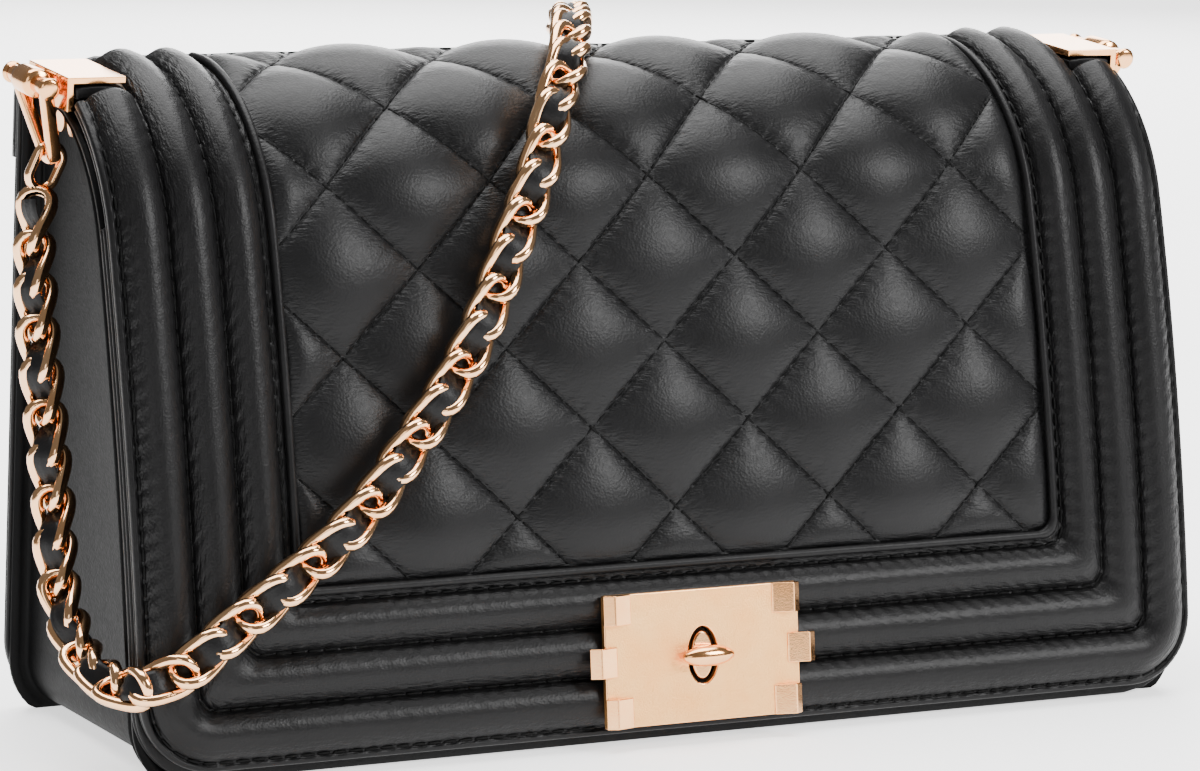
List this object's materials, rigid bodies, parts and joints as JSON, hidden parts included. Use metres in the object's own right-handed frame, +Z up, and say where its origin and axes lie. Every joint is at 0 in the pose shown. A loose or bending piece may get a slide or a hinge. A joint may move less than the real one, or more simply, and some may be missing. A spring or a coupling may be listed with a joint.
{
  "type": "crossbody purse",
  "caption": "Structured flap bag with a quilted panel, ribbed border, turn lock and a woven chain strap on side rings.",
  "frame": {"origin": "middle of the base, on the table the bag stands on", "axes": "+Z up, the flap's front faces -Y, +X to the right seen from the front"},
  "size_m": [0.2871, 0.1563, 0.1596],
  "materials": {
    "leather_smooth": "smooth fine grain, semi-matt",
    "leather_quilted": "smooth fine grain, padded and diamond stitched",
    "lining_cloth": "plain woven lining",
    "stiff_board": "fibre board",
    "gold_polished": "pale rose gold plating, polished",
    "gold_satin": "pale rose gold plating, fine sandblast",
    "washer_steel": "plain",
    "strap": "pale gold chain woven with black leather"
  },
  "bodies": {
    "body": {"front_panel": "leather_smooth", "back_panel": "leather_smooth", "left_gusset": "leather_smooth", "right_gusset": "leather_smooth", "base_panel": "leather_smooth", "base_board": "stiff_board", "lining_front": "lining_cloth", "lining_back": "lining_cloth", "lining_gusset": "lining_cloth", "slip_pocket": "lining_cloth", "hinge_strip": "leather_smooth", "bracket_left": "gold_polished", "bracket_right": "gold_polished", "bracket_rivets": "gold_polished", "turnlock_base": "gold_polished", "turnlock_backplate": "washer_steel", "strap_front": "strap", "strap_back": "strap"},
    "flap": {"flap_lining": "lining_cloth", "flap_core": "stiff_board", "border_panel": "leather_smooth", "quilted_panel": "leather_quilted", "inner_piping": "leather_smooth", "rib_outer": "leather_smooth", "rib_middle": "leather_smooth", "rib_inner": "leather_smooth", "lock_plate": "gold_satin", "lock_studs": "gold_polished", "lock_back_washer": "washer_steel"},
    "toggle": {"turnlock_toggle": "gold_polished"},
    "ring_left": {"d_ring_left": "gold_polished", "end_link_left": "gold_polished"},
    "ring_right": {"d_ring_right": "gold_polished", "end_link_right": "gold_polished"}
  },
  "joints": [
    {"name": "flap_hinge", "type": "hinge", "parent": "body", "child": "flap", "pos_m": [0, 0.024, 0.1469], "axis": [-1, 0, 0], "range_deg": [0, 115], "deforming": ["strap_front", "strap_back"]},
    {"name": "toggle_turn", "type": "hinge", "parent": "body", "child": "toggle", "pos_m": [0, -0.04009, 0.0187], "axis": [0, -0.9933, 0.1155], "range_deg": [0, 90]},
    {"name": "ring_left_swing", "type": "hinge", "parent": "body", "child": "ring_left", "pos_m": [-0.1345, 0.01016, 0.14416], "axis": [0, 0.9973, 0.0732], "range_deg": [0, 115]},
    {"name": "ring_right_swing", "type": "hinge", "parent": "body", "child": "ring_right", "pos_m": [0.1345, 0.01016, 0.14416], "axis": [0, -0.9973, -0.0732], "range_deg": [0, 115]}
  ]
}
